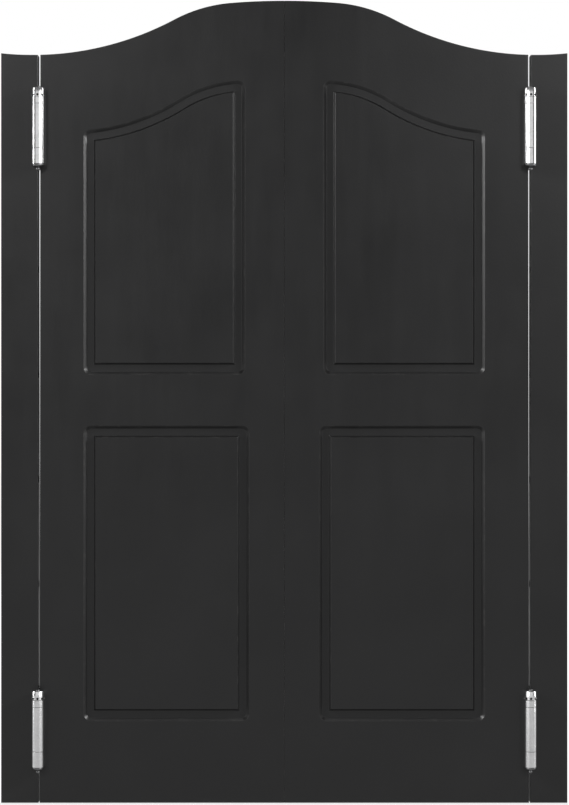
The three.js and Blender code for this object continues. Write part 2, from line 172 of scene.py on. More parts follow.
def new_group(name, inputs, outputs):
    """A shader node group with float inputs and named outputs."""
    tree = bpy.data.node_groups.new(name, "ShaderNodeTree")
    for label, value in inputs.items():
        socket = tree.interface.new_socket(
            label, in_out="INPUT", socket_type="NodeSocketFloat")
        socket.default_value = value
    for label in outputs:
        tree.interface.new_socket(label, in_out="OUTPUT", socket_type="NodeSocketFloat")
    entry = tree.nodes.new("NodeGroupInput")
    leave = tree.nodes.new("NodeGroupOutput")
    return tree, entry, leave


def math_node(tree, operation, a, b=0.0, c=0.0, clamp=False):
    return node(
        tree, "ShaderNodeMath", {0: a, 1: b, 2: c},
        operation=operation, use_clamp=clamp).outputs[0]


def remap(tree, value, low, high, to_low, to_high):
    """Stretches a value's range and clamps it."""
    return node(
        tree, "ShaderNodeMapRange",
        {"Value": value, "From Min": low, "From Max": high,
         "To Min": to_low, "To Max": to_high}).outputs["Result"]


def stretched_noise(tree, stretch, scale, detail=3.0, roughness=0.55):
    """Noise on Object coordinates, squeezed or drawn out along the axes."""
    place = node(tree, "ShaderNodeTexCoord").outputs["Object"]
    mapped = node(
        tree, "ShaderNodeMapping", {"Vector": place, "Scale": stretch}).outputs[0]
    return node(
        tree, "ShaderNodeTexNoise",
        {"Vector": mapped, "Scale": scale, "Detail": detail, "Roughness": roughness},
    ).outputs["Fac"]


print("node helpers ready")

# %% [markdown]
# ## Shared effects
#
# Three effects turn up on more than one material. **Handling** gives soft patches where
# hands and cloths have been. **Fine speckle** gives dust and small pits. **Edge wear**
# reads an attribute called `ease`, which the modelling cells below write along the
# eased edges, and breaks it up with noise so that the wear is never an even line.

# %% Node groups shared by the materials
def handling_group():
    tree, entry, leave = new_group(
        "handling", {"Patch Size": 0.12, "Streak": 0.5}, ["Patches", "Streaks"])
    place = node(tree, "ShaderNodeTexCoord").outputs["Object"]
    scale = math_node(tree, "DIVIDE", 1.0, entry.outputs["Patch Size"])
    patches = node(
        tree, "ShaderNodeTexNoise",
        {"Vector": place, "Scale": scale, "Detail": 4.0, "Roughness": 0.6})
    mapped = node(
        tree, "ShaderNodeMapping", {"Vector": place, "Scale": (1.0, 1.0, 0.12)})
    streaks = node(
        tree, "ShaderNodeTexNoise",
        {"Vector": mapped.outputs[0], "Scale": 55.0, "Detail": 5.0, "Roughness": 0.65})
    weighted = math_node(
        tree, "MULTIPLY", streaks.outputs["Fac"], entry.outputs["Streak"])
    tree.links.new(patches.outputs["Fac"], leave.inputs["Patches"])
    tree.links.new(weighted, leave.inputs["Streaks"])
    return tree


def speckle_group():
    tree, entry, leave = new_group(
        "fine_speckle", {"Grain Size": 0.0012, "Amount": 0.5}, ["Speckle", "Grain"])
    place = node(tree, "ShaderNodeTexCoord").outputs["Object"]
    scale = math_node(tree, "DIVIDE", 1.0, entry.outputs["Grain Size"])
    grain = node(
        tree, "ShaderNodeTexNoise",
        {"Vector": place, "Scale": scale, "Detail": 2.0, "Roughness": 0.5})
    coarse = math_node(tree, "MULTIPLY", scale, 0.22)
    spots = node(tree, "ShaderNodeTexVoronoi", {"Vector": place, "Scale": coarse})
    near = remap(tree, spots.outputs["Distance"], 0.0, 0.16, 1.0, 0.0)
    speckle = math_node(tree, "MULTIPLY", near, entry.outputs["Amount"])
    tree.links.new(speckle, leave.inputs["Speckle"])
    tree.links.new(grain.outputs["Fac"], leave.inputs["Grain"])
    return tree


def wear_group():
    tree, entry, leave = new_group(
        "edge_wear", {"Size": 0.01, "Reach": 0.5}, ["Wear"])
    place = node(tree, "ShaderNodeTexCoord").outputs["Object"]
    scale = math_node(tree, "DIVIDE", 1.0, entry.outputs["Size"])
    noise = node(
        tree, "ShaderNodeTexNoise",
        {"Vector": place, "Scale": scale, "Detail": 6.0, "Roughness": 0.7})
    ease = node(tree, "ShaderNodeAttribute", attribute_name="ease").outputs["Fac"]
    limit = math_node(tree, "SUBTRACT", 1.0, entry.outputs["Reach"])
    chips = math_node(tree, "GREATER_THAN", noise.outputs["Fac"], limit)
    soft = remap(tree, noise.outputs["Fac"], 0.35, 0.7, 0.0, 1.0)
    both = math_node(tree, "ADD", math_node(tree, "MULTIPLY", chips, 0.5),
                     math_node(tree, "MULTIPLY", soft, 0.5))
    tree.links.new(math_node(tree, "MULTIPLY", both, ease), leave.inputs["Wear"])
    return tree


HANDLING, SPECKLE, WEAR = handling_group(), speckle_group(), wear_group()
print("shared groups", HANDLING.name, SPECKLE.name, WEAR.name)

# %% [markdown]
# ## Building a material
#
# Each material starts from a new node tree and its Principled shader. Three helpers cover
# what every finish below does: place a shared group with its own values, mix two colours
# by a mask, and turn a height into a bump. The mask and the colours may be plain values or
# sockets, which keeps the recipes short.

# %% Helpers for one material
def place_group(tree, group, **values):
    made = tree.nodes.new("ShaderNodeGroup")
    made.node_tree = group
    for name, value in values.items():
        made.inputs[name.replace("_", " ").title()].default_value = value
    return made


def start_material(name):
    material = bpy.data.materials.new(name)
    material.use_nodes = True
    tree = material.node_tree
    return material, tree, tree.nodes["Principled BSDF"]


def mix_colour(tree, amount, a, b):
    made = node(tree, "ShaderNodeMix", data_type="RGBA")
    for socket, value in ((made.inputs[0], amount), (made.inputs[6], a),
                          (made.inputs[7], b)):
        if isinstance(value, bpy.types.NodeSocket):
            tree.links.new(value, socket)
        else:
            socket.default_value = value
    return made.outputs[2]


def bump(tree, shader, height, strength, distance):
    made = node(tree, "ShaderNodeBump",
                {"Height": height, "Strength": strength, "Distance": distance})
    tree.links.new(made.outputs["Normal"], shader.inputs["Normal"])


print("material helpers ready")

# %% [markdown]
# ## Satin black paint
#
# The boards are fibreboard under sprayed satin lacquer. Sprayed paint has a faint orange
# peel, a millimetre or so across. Fibreboard soaks up more paint where the router has
# opened it, so the grooves are a little duller: the modelling cells mark them with an
# attribute called `routed`. Hands and dust change how sharp the sheen is, and the eased
# edges are rubbed a little lighter.

# %% Paint for the boards
def satin_paint():
    material, tree, shader = start_material("satin_black_paint")
    handling = place_group(tree, HANDLING, patch_size=0.16, streak=1.0)
    speckle = place_group(tree, SPECKLE, grain_size=0.0013, amount=0.5)
    wear = place_group(tree, WEAR, size=0.012, reach=0.42)
    routed = node(tree, "ShaderNodeAttribute", attribute_name="routed").outputs["Fac"]

    tone = remap(tree, handling.outputs["Patches"], 0.3, 0.7, 0.0, 1.0)
    base = mix_colour(
        tree, tone, (0.0095, 0.0095, 0.0098, 1), (0.0125, 0.0125, 0.0128, 1))
    dusty = math_node(tree, "MULTIPLY", speckle.outputs["Speckle"], 0.12)
    base = mix_colour(tree, dusty, base, (0.09, 0.09, 0.088, 1))
    rubbed = math_node(tree, "MULTIPLY", wear.outputs["Wear"], 0.3)
    base = mix_colour(tree, rubbed, base, (0.075, 0.073, 0.07, 1))
    tree.links.new(base, shader.inputs["Base Color"])

    sheen = remap(tree, handling.outputs["Patches"], 0.3, 0.7, 0.33, 0.4)
    streaks = remap(tree, handling.outputs["Streaks"], 0.3, 0.75, -0.03, 0.03)
    sheen = math_node(tree, "ADD", sheen, streaks)
    sheen = math_node(tree, "ADD", sheen, math_node(tree, "MULTIPLY", routed, 0.05))
    tree.links.new(sheen, shader.inputs["Roughness"])

    peel = stretched_noise(tree, (1, 1, 1), 420, detail=1.0)
    fibres = math_node(tree, "MULTIPLY", speckle.outputs["Grain"], 0.35)
    fuzz = math_node(tree, "MULTIPLY", fibres, math_node(tree, "ADD", routed, 0.35))
    bump(tree, shader, math_node(tree, "ADD", peel, fuzz), 0.16, 0.0004)
    return material


PAINT = satin_paint()
print("made", PAINT.name)

# %% [markdown]
# ## The steels
#
# Four finishes. The plates are **satin sheet**, brushed along the barrel, so its grain is
# noise drawn out along Z. The collars are **turned**, so theirs runs round, in thin bands
# along Z. The springs, spindles and foot buttons are **dark oiled steel**, and the screws
# are **plated**, with a smoother, softer gloss. Two attributes change a finish within a
# piece: `milled` dulls a plate's flat, and `recess` paints shade into a drilled hole,
# colouring its inside nearly black.

# %% Steel for plates, collars, springs and screws
MILLED_SHADE = 0.45  # how dark a plate's flat is beside its polished roll
# painted shade: the nearly black colour laid inside a drilled hole
PAINTED_HOLE_SHADE = (0.012, 0.011, 0.01, 1)


def steel(name, light, dark, roughness, grain, grain_scale, depth, smear=0.05):
    """A metal whose grain, tone and gloss all vary. `grain` squeezes the noise."""
    material, tree, shader = start_material(name)
    shader.inputs["Metallic"].default_value = 1.0
    handling = place_group(tree, HANDLING, patch_size=0.02, streak=1.0)
    speckle = place_group(tree, SPECKLE, grain_size=0.0009, amount=1.0)
    wear = place_group(tree, WEAR, size=0.003, reach=0.5)
    lines = stretched_noise(tree, grain, grain_scale, detail=4.0, roughness=0.7)

    tone = remap(tree, lines, 0.3, 0.7, 0.0, 1.0)
    base = mix_colour(tree, tone, (*dark, 1), (*light, 1))
    stain = remap(tree, handling.outputs["Patches"], 0.45, 0.75, 0.0, 0.35)
    base = mix_colour(tree, stain, base, (*[0.62 * c for c in dark], 1))
    spots = math_node(tree, "MULTIPLY", speckle.outputs["Speckle"], 0.25)
    base = mix_colour(tree, spots, base, (*[0.4 * c for c in dark], 1))
    rubbed = math_node(tree, "MULTIPLY", wear.outputs["Wear"], 0.5)
    base = mix_colour(tree, rubbed, base, (*[min(1, 1.15 * c) for c in light], 1))
    milled = node(tree, "ShaderNodeAttribute", attribute_name="milled").outputs["Fac"]
    base = mix_colour(tree, math_node(tree, "MULTIPLY", milled, 0.7), base,
                      (*[MILLED_SHADE * c for c in dark], 1))
    # painted shade: where `recess` is 1, inside a drilled hole, the colour goes nearly black
    recess = node(tree, "ShaderNodeAttribute", attribute_name="recess").outputs["Fac"]
    base = mix_colour(tree, recess, base, PAINTED_HOLE_SHADE)
    tree.links.new(base, shader.inputs["Base Color"])

    gloss = remap(tree, lines, 0.3, 0.7, roughness - 0.04, roughness + 0.05)
    smudge = remap(tree, handling.outputs["Patches"], 0.35, 0.7, 0.0, smear)
    gloss = math_node(tree, "ADD", gloss, smudge)
    gloss = math_node(tree, "ADD", gloss, math_node(tree, "MULTIPLY", milled, 0.2))
    tree.links.new(gloss, shader.inputs["Roughness"])
    bump(tree, shader, lines, 0.12, depth)
    return material


SHEET_STEEL = steel(
    "satin_sheet_steel", (0.8, 0.8, 0.805), (0.73, 0.73, 0.735), 0.2,
    (1, 1, 0.03), 2600, 0.000012)
TURNED_STEEL = steel(
    "turned_steel", (0.8, 0.8, 0.805), (0.7, 0.7, 0.705), 0.2,
    (0.04, 0.04, 1), 3200, 0.000015)
DARK_STEEL = steel(
    "oiled_spring_steel", (0.28, 0.28, 0.285), (0.11, 0.11, 0.112), 0.28,
    (0.05, 0.05, 1), 2200, 0.00004)
SCREW_STEEL = steel(
    "plated_screw_steel", (0.58, 0.57, 0.55), (0.4, 0.39, 0.38), 0.22,
    (1, 1, 1), 900, 0.00002)
print("made", [m.name for m in (SHEET_STEEL, TURNED_STEEL, DARK_STEEL, SCREW_STEEL)])

# %% [markdown]
# ## Finishing a piece
#
# Every piece ends in the same way: its mesh becomes an object at the origin, gets its
# material, is shaded smooth except across sharp edges, and is tied to the CAD body it
# moves with. A piece is always modelled for the right-hand side. Its left-hand twin is
# the same mesh scaled by -1 along X, which turns it inside out, so its faces are
# flipped back.

# %% Turning a bmesh into a piece
def smooth_shading(bm, sharp_above=32):
    for face in bm.faces:
        face.smooth = True
    for edge in bm.edges:
        if edge.calc_face_angle(0) > math.radians(sharp_above):
            edge.smooth = False


def add_piece(bm, name, side, material, body, replaced=(), modifiers=()):
    """Makes the object, ties it to its CAD body, and hides the CAD nodes it stands for."""
    mesh = bpy.data.meshes.new(name)
    bm.to_mesh(mesh)
    if side < 0:
        mesh.transform(Matrix.Scale(-1, 4, (1, 0, 0)))
        mesh.flip_normals()
    mesh.materials.append(material)
    piece = bpy.data.objects.new(name, mesh)
    bpy.context.collection.objects.link(piece)
    for kind, settings in modifiers:
        modifier = piece.modifiers.new(kind.lower(), kind)
        for label, value in settings.items():
            setattr(modifier, label, value)
    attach(piece, body)
    if replaced:
        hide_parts(*replaced)
    return piece


FLAT_FACES = ("WEIGHTED_NORMAL", {"keep_sharp": True, "weight": 100})
print("piece helper ready")

# %% [markdown]
# ## The arched curve
#
# The top edge of each leaf and strip is one curve: a flat crown, a round shoulder and a
# hollow flank, each running smoothly into the next. The panel below it has a curve of the
# same kind. Moving such a curve square to itself only changes its radii, which is what
# keeps a groove the same width all along, so one function serves for every outline.

# %% Height and slope of an arched curve
def arch_point(arch, crown, grow, x):
    """The curve's point at distance x from the centre line, and its outward normal."""
    r1, turn1, r2, turn2, r3 = arch
    a1, a2 = math.radians(turn1), math.radians(turn2)
    first = Vector((0, crown - r1))
    second = first + (r1 - r2) * Vector((math.sin(a1), math.cos(a1)))
    third = second + (r2 + r3) * Vector((math.sin(a2), math.cos(a2)))
    if x <= (r1 + grow) * math.sin(a1):
        centre, radius, way = first, r1 + grow, 1
    elif x <= second.x + (r2 + grow) * math.sin(a2):
        centre, radius, way = second, r2 + grow, 1
    else:
        centre, radius, way = third, r3 - grow, -1
    z = centre.y + way * math.sqrt(radius ** 2 - (x - centre.x) ** 2)
    point = Vector((x, z))
    return point, way * (point - centre) / radius


corner = arch_point(ARCH, CROWN, 0, LEAF_OUT)[0]
print("height at the leaf's outer corner", round(corner.y, 4))

# %% [markdown]
# ## A plain board
#
# A leaf and a strip start alike. The outline is filled as one face at mid-thickness and
# extruded to the front face. The rim's front edges are bevelled, because a sprayed edge
# is always eased by sanding. Only the front half is made; it is mirrored to the back
# once a leaf's grooves are in, since both faces are routed alike.

# %% Board halves with eased edges
EASE = 0.6 * MM
RIM_REACH = 1.1 * EASE  # what lies nearer to an edge than this belongs to its eased rim
CROWN_RADIUS = 200 * MM  # the meeting edge is a little crowned across its thickness
CROWN_STEPS = 7
MEETING_SQUEEZE = 0.4  # how much of its ease and its crown a meeting edge keeps


def board_outline(x0, x1, steps):
    top = [arch_point(ARCH, CROWN, 0, x1 + (x0 - x1) * i / steps)[0]
           for i in range(steps + 1)]
    return [Vector((x0, 0)), Vector((x1, 0)), *top]


def board_half(x0, x1, steps, crowned):
    """The front half of a board, open at mid-thickness, with its front face as one."""
    bm = bmesh.new()
    rim = [bm.verts.new((p.x, 0, p.y)) for p in board_outline(x0, x1, steps)]
    sheet = bm.faces.new(rim)
    raised = bmesh.ops.extrude_face_region(bm, geom=[sheet])["geom"]
    front_verts = [g for g in raised if isinstance(g, bmesh.types.BMVert)]
    bmesh.ops.translate(bm, vec=(0, -FACE, 0), verts=front_verts)
    bmesh.ops.delete(
        bm, geom=[f for f in bm.faces if all(abs(v.co.y) < 1e-7 for v in f.verts)],
        context="FACES_ONLY")
    if crowned:
        crown_edge(bm, x0)
    face = front_face(bm)
    bmesh.ops.bevel(bm, geom=list(face.edges), offset=EASE, offset_type="OFFSET",
                    segments=3, profile=0.5, affect="EDGES", material=-1)
    bmesh.ops.recalc_face_normals(bm, faces=bm.faces)
    return bm


def crown_edge(bm, x0):
    """Cuts the edge face at x0 into strips and sets their corners on an arc."""
    cross = [e for e in bm.edges if all(abs(v.co.x - x0) < 1e-7 for v in e.verts)
             and abs(e.verts[0].co.y - e.verts[1].co.y) > FACE / 2]
    bmesh.ops.subdivide_edges(bm, edges=cross, cuts=CROWN_STEPS, use_grid_fill=True)
    for vert in bm.verts:
        if abs(vert.co.x - x0) < 1e-7:
            set_back = CROWN_RADIUS - math.sqrt(CROWN_RADIUS ** 2 - vert.co.y ** 2)
            vert.co.x += set_back
            if vert.co.z > 0.5:
                vert.co.z = arch_point(ARCH, CROWN, 0, vert.co.x)[0].y


def front_face(bm):
    return max((f for f in bm.faces if f.calc_center_median().y < -FACE * 0.999),
               key=lambda f: f.calc_area())


trial = board_half(HAIRLINE, LEAF_EDGE, 60, True)
print("board half", len(trial.verts), "vertices; front face area",
      round(front_face(trial).calc_area(), 4))
trial.free()

# %% [markdown]
# ## Leaning edges, and beds for the plates
#
# Doors seldom hang quite true, and here the gap beside each leaf narrows towards the foot.
# Both of its edges lean a little into it. The hinge plates stay upright, so each lies in a
# shallow bed, as a joiner would chisel one. The edge is cut at the ends of each bed, and
# then its vertices are moved.

# %% Leaning a long edge
def lean_edge(bm, edge_x, inwards):
    """Leans the long edge at edge_x into the side gap, and beds the hinge plates in it."""
    beds = [(bottom - BED_PLAY, bottom + PLATE_HEIGHT + BED_PLAY)
            for bottom in HINGE_BOTTOMS.values()]

    def on_edge(vert):
        return abs(vert.co.x - edge_x) < RIM_REACH

    for low, high in beds:
        for level in (low - BED_SLOPE, low, high, high + BED_SLOPE):
            faces = [f for f in bm.faces if all(on_edge(v) for v in f.verts)]
            edges = {e for f in faces for e in f.edges}
            verts = {v for f in faces for v in f.verts}
            bmesh.ops.bisect_plane(bm, geom=[*verts, *edges, *faces], dist=1e-7,
                                   plane_co=(0, 0, level), plane_no=(0, 0, 1))
    bed = (LEAF_OUT if inwards > 0 else STRIP_IN) + inwards * PLATE_BED
    reach = BED_SLOPE / 2
    for vert in [v for v in bm.verts if on_edge(v)]:
        shift = inwards * LEAN * (1 - vert.co.z / CROWN)
        bedded = any(low - reach < vert.co.z < high + reach for low, high in beds)
        if bedded and (edge_x + shift - bed) * inwards > 0:
            shift = bed - edge_x
        vert.co.x += shift


print("beds", [round(bottom - BED_PLAY, 4) for bottom in HINGE_BOTTOMS.values()])

# %% [markdown]
# ## Wear marks and the back half
#
# The wear effect needs to know where the eased rims are, so they are marked on the
# vertices. Both faces of a board are alike, so the back half is a mirror copy, joined at
# mid-thickness. Mirroring turns faces inside out, so their normals are worked out again.

# %% Marking the rims and mirroring a half
def mark_edges(bm):
    """Writes `ease`, 1 on the rounded rim and 0 on the flats, for the wear effect."""
    layer = bm.verts.layers.float.get("ease") or bm.verts.layers.float.new("ease")
    for vert in bm.verts:
        flat = any(abs(f.normal.y) < 0.03 or abs(f.normal.y) > 0.985
                   for f in vert.link_faces)
        at_rim = abs(vert.co.y) > FACE - RIM_REACH
        vert[layer] = 1.0 if at_rim and not flat else 0.0


def mirror_to_back(bm):
    bmesh.ops.mirror(bm, geom=bm.verts[:] + bm.edges[:] + bm.faces[:],
                     matrix=Matrix.Identity(4), merge_dist=1e-6, axis="Y")
    bmesh.ops.remove_doubles(bm, verts=bm.verts, dist=1e-6)
    bmesh.ops.recalc_face_normals(bm, faces=bm.faces)


print("board helpers ready")

# %% [markdown]
# ## The routed panels
#
# A router cuts one groove round each field. Its section, from the outside in, is a broken
# edge, a sloping wall, a flat floor, a steep inner wall and the field's own edge. The
# section below gives each point as its distance outside the field and its depth. The
# groove is then swept the way a modeller would do it: a ring of vertices is extruded, the
# new ring is moved to the next point of the section, and so on. The outer corners keep
# the cutter's radius, and the inner ones are nearly sharp.

# %% Rings round a panel
STILE_AT_HINGE = 72.8 * MM
GROOVE = [  # (outside the field, depth) in mm, from the face inwards
    (16.3, 0), (16.0, 0.08), (15.7, 0.35), (12.2, 4.15), (11.8, 4.42), (11.2, 4.5),
    (2.9, 4.5), (2.5, 4.4), (2.2, 4.1), (0.25, 0.4), (0.0, 0.1), (-0.4, 0),
]
PANELS = {  # bottom edge, crown or top edge, stile at the meeting edge, arch
    "upper": (586 * MM, CROWN - 120 * MM, 67.4 * MM, PANEL_ARCH),
    "lower": (124.9 * MM, 486.3 * MM, 61.7 * MM, None),
}
CORNER_STEPS = 6
TOP_STEPS = 44
CORNER_TIGHTENING = 6.4 * MM  # how much less a corner's radius is than its distance out
FIELD_CORNER = 0.25 * MM  # the radius at the field's own corners


def corner_radius(grow):
    return max(grow - CORNER_TIGHTENING, FIELD_CORNER + 0.05 * max(grow, 0))


def top_point(panel, grow, x):
    _, crown, _, arch = PANELS[panel]
    if arch:
        return arch_point(arch, crown, grow, x)
    return Vector((x, crown + grow)), Vector((0, 1))


def corner_arc(centre, radius, start, end):
    angles = [start + (end - start) * i / CORNER_STEPS for i in range(CORNER_STEPS + 1)]
    return [centre + radius * Vector((math.cos(a), math.sin(a))) for a in angles]


def panel_ring(panel, grow):
    """Points round a panel, with all four corners rounded."""
    r = corner_radius(grow)
    low = PANELS[panel][0] - grow
    inner = LEAF_IN + PANELS[panel][2] - grow
    outer = LEAF_OUT - STILE_AT_HINGE + grow
    turn = math.pi / 2
    ring = corner_arc(Vector((inner + r, low + r)), r, 2 * turn, 3 * turn)
    ring += corner_arc(Vector((outer - r, low + r)), r, 3 * turn, 4 * turn)
    # a circle that touches both the side and the arch is centred on the arch moved in
    right, right_normal = top_point(panel, grow - r, outer - r)
    left, left_normal = top_point(panel, grow - r, inner + r)
    ring += corner_arc(right, r, 0, math.atan2(right_normal.y, right_normal.x))
    x_right = (right + r * right_normal).x
    x_left = (left + r * left_normal).x
    ring += [top_point(panel, grow, x_right + (x_left - x_right) * i / TOP_STEPS)[0]
             for i in range(1, TOP_STEPS)]
    ring += corner_arc(left, r, math.atan2(left_normal.y, left_normal.x), 2 * turn)
    return ring


print("points in a ring", len(panel_ring("upper", GROOVE[0][0] * MM)))

# %% [markdown]
# ## Sweeping the grooves
#
# The plain front face is taken off and its rim kept. Each panel's rings are extruded one
# from another along the section, and marked `routed` where the cutter has been. The last
# ring is closed by the field, and what is left between the rim and the outer rings is
# filled again.

# %% Cutting the grooves into the front face
def cut_grooves(bm):
    """Replaces the plain front face by one with two routed panels."""
    routed = bm.verts.layers.float.new("routed")
    face = front_face(bm)
    rim = list(face.edges)
    bmesh.ops.delete(bm, geom=[face], context="FACES_ONLY")
    openings = []
    for panel in PANELS:
        section = [(grow * MM, depth * MM) for grow, depth in GROOVE]
        points = panel_ring(panel, section[0][0])
        verts = [bm.verts.new((p.x, -FACE, p.y)) for p in points]
        ring = [bm.edges.new((a, b)) for a, b in zip(verts, verts[1:] + verts[:1])]
        openings += ring
        for grow, depth in section[1:]:
            made = bmesh.ops.extrude_edge_only(bm, edges=ring)["geom"]
            fresh = {v for v in made if isinstance(v, bmesh.types.BMVert)}
            follow = []
            for vert in verts:
                follow.append(next(e.other_vert(vert) for e in vert.link_edges
                                   if e.other_vert(vert) in fresh))
            for vert, p in zip(follow, panel_ring(panel, grow)):
                vert.co = (p.x, -FACE + depth, p.y)
                vert[routed] = 1.0 if depth > 0.05 * MM else 0.0
            ring = [e for e in made if isinstance(e, bmesh.types.BMEdge)]
            ring = [e for e in ring if all(v in fresh for v in e.verts)]
            verts = follow
        bm.faces.new(verts)
    bmesh.ops.triangle_fill(bm, use_beauty=True, edges=rim + openings,
                            normal=(0, -1, 0))
    bmesh.ops.recalc_face_normals(bm, faces=bm.faces)


def leaf_board():
    bm = board_half(HAIRLINE, LEAF_EDGE, 72, True)
    for vert in bm.verts:
        if vert.co.x < HAIRLINE + RIM_REACH:
            vert.co.x = HAIRLINE + MEETING_SQUEEZE * (vert.co.x - HAIRLINE)
    lean_edge(bm, LEAF_EDGE, 1)
    cut_grooves(bm)
    mirror_to_back(bm)
    mark_edges(bm)
    smooth_shading(bm, 40)
    return bm


print("a groove has", len(GROOVE), "rings")

# %% [markdown]
# ## The two leaves
#
# One mesh serves for both leaves, mirrored for the left. Weighted normals keep the wide
# flats flat in the light, although they share vertices with the rounded rims.

# %% The two leaves
board = leaf_board()
print("leaf", len(board.faces), "faces, volume",
      round(board.calc_volume() * 1e3, 3), "litres")
for side_name, side in SIDES.items():
    add_piece(board, f"{side_name}_leaf_board", side, PAINT, f"{side_name}_leaf",
              [f"{side_name}_door_leaf"], [FLAT_FACES])
board.free()

# %% [markdown]
# ## The mounting strips
#
# Each strip is screwed to the side of the opening through four countersunk holes. They
# are drilled from the edge that faces the leaf, where the open door uncovers them. Both
# long edges are re-filled as flat faces with four round openings. The countersink and
# the bore are then extruded inwards from each opening, and bridged to the far edge.

# %% Strips with countersunk holes
STRIP_HOLE = 2.75 * MM
COUNTERSINK = 5.2 * MM
STRIP_SCREWS = 4


def strip_hole_levels():
    low = HINGE_BOTTOMS["lower"] + COLLAR_TOP
    pitch = (HINGE_BOTTOMS["upper"] - low) / (STRIP_SCREWS + 1)
    return [low + pitch * (i + 1) for i in range(STRIP_SCREWS)]


def circle_in_yz(bm, x, y, z, radius, segments):
    turn = Matrix.Translation((x, y, z)) @ Matrix.Rotation(math.pi / 2, 4, "Y")
    made = bmesh.ops.create_circle(
        bm, cap_ends=False, radius=radius, segments=segments, matrix=turn)
    verts = made["verts"]
    return list({e for v in verts for e in v.link_edges})


def open_edge_face(bm, x, radius):
    """Swaps the flat edge at x for one with a round opening at each screw level."""
    flat = [f for f in bm.faces if all(abs(v.co.x - x) < 1e-6 for v in f.verts)]
    inner = {e for f in flat for e in f.edges if all(g in flat for g in e.link_faces)}
    bmesh.ops.dissolve_edges(bm, edges=list(inner), use_verts=True)
    flat = [f for f in bm.faces if all(abs(v.co.x - x) < 1e-6 for v in f.verts)]
    rim = list({e for f in flat for e in f.edges})
    bmesh.ops.delete(bm, geom=flat, context="FACES_ONLY")
    circles = [circle_in_yz(bm, x, 0, z, radius, 24) for z in strip_hole_levels()]
    bmesh.ops.triangle_fill(bm, use_beauty=True, edges=rim + sum(circles, []))
    return circles


def extruded_ring(bm, ring, shift, scale, centre):
    made = bmesh.ops.extrude_edge_only(bm, edges=ring)["geom"]
    verts = [g for g in made if isinstance(g, bmesh.types.BMVert)]
    bmesh.ops.scale(bm, vec=(1, scale, scale), space=Matrix.Translation(-centre),
                    verts=verts)
    bmesh.ops.translate(bm, vec=(shift, 0, 0), verts=verts)
    fresh = set(verts)
    return [g for g in made if isinstance(g, bmesh.types.BMEdge)
            and all(v in fresh for v in g.verts)]


def strip_board():
    bm = board_half(STRIP_EDGE, STRIP_OUT, 14, False)
    mirror_to_back(bm)
    mark_edges(bm)
    near = open_edge_face(bm, STRIP_EDGE, COUNTERSINK)
    far = open_edge_face(bm, STRIP_OUT, STRIP_HOLE)
    for start, end, z in zip(near, far, strip_hole_levels()):
        centre = Vector((STRIP_EDGE, 0, z))
        ring = extruded_ring(
            bm, start, COUNTERSINK - STRIP_HOLE, STRIP_HOLE / COUNTERSINK, centre)
        bmesh.ops.bridge_loops(bm, edges=ring + end)
    lean_edge(bm, STRIP_EDGE, -1)
    bmesh.ops.recalc_face_normals(bm, faces=bm.faces)
    smooth_shading(bm, 40)
    return bm


print("strip holes at", [round(z, 4) for z in strip_hole_levels()])

# %% [markdown]
# ## The two strips
#
# The strips are made once and mirrored, as the leaves are. They ride on the body that
# stands for the opening's sides, which doesn't move.

# %% The two strips
board = strip_board()
print("strip", len(board.faces), "faces, volume",
      round(board.calc_volume() * 1e3, 3), "litres; open edges",
      sum(1 for e in board.edges if not e.is_manifold))
for side_name, side in SIDES.items():
    add_piece(board, f"{side_name}_strip_board", side, PAINT, "opening_side",
              [f"{side_name}_jamb_strip"], [FLAT_FACES])
board.free()

# %% [markdown]
# ## Hinge plates rolled from sheet
#
# A real hinge plate is one piece of sheet. The flat part lies in the gap between strip and
# leaf. Tabs run on from its edge, make a tight bend, and are rolled round into knuckles or
# a sleeve, stopping just short of the plate. This copies the press tool: the flat is
# filled with its screw holes, the tabs' edges are spun round the bend's centre and then
# round the barrel's axis, and a Solidify modifier gives the sheet its thickness.

# %% The sheet's flat part and its rolls
ROLL_RADIUS = BARREL_RADIUS - 0.05 * MM - PLATE / 2
BEND_RADIUS = 1.6 * MM
HALF_PITCH = 0.725 * MM  # from a barrel's axis to the middle of the plate's thickness
BEND_START = math.sqrt((ROLL_RADIUS + BEND_RADIUS) ** 2 - (HALF_PITCH + BEND_RADIUS) ** 2)
BEND_TURN = math.pi - math.acos((HALF_PITCH + BEND_RADIUS) / (ROLL_RADIUS + BEND_RADIUS))
ROLL_TURN = math.radians(341)
PLATE_REACH = 9 * MM
PLATE_CORNER = 3 * MM
HOLE = 3.75 * MM
SHEET = [
    ("SOLIDIFY", {"thickness": PLATE, "offset": 0, "use_even_offset": True}),
    ("BEVEL", {"width": 0.18 * MM, "segments": 2, "limit_method": "ANGLE",
               "angle_limit": math.radians(50)}),
    FLAT_FACES,
]
SCREWS_PER_PLATE = 3


def plate_screw_points():
    """Where the screws go: (distance from mid-thickness, height), in a zigzag."""
    offset = PLATE_REACH / 2 - 0.3 * MM
    return [((1 if i % 2 else -1) * offset, PLATE_HEIGHT * (i + 0.5) / SCREWS_PER_PLATE)
            for i in range(SCREWS_PER_PLATE)]


def roll_tab(bm, edges, axis, way, towards):
    """Spins a tab's edge round the bend and then round the barrel. `way` is 1 when the
    roll goes to the right of the plate, `towards` is -1 for a barrel at the front."""
    plate_x = axis.x + way * HALF_PITCH
    bend = Vector((plate_x + way * BEND_RADIUS, axis.y - towards * BEND_START, 0))
    turn = -way * towards
    made = bmesh.ops.spin(
        bm, geom=edges, cent=bend, axis=(0, 0, turn), dvec=(0, 0, 0),
        angle=BEND_TURN, steps=7, use_duplicate=False)["geom_last"]
    last = [g for g in made if isinstance(g, bmesh.types.BMEdge)]
    bmesh.ops.spin(
        bm, geom=last, cent=axis, axis=(0, 0, -turn), dvec=(0, 0, 0),
        angle=ROLL_TURN, steps=44, use_duplicate=False)


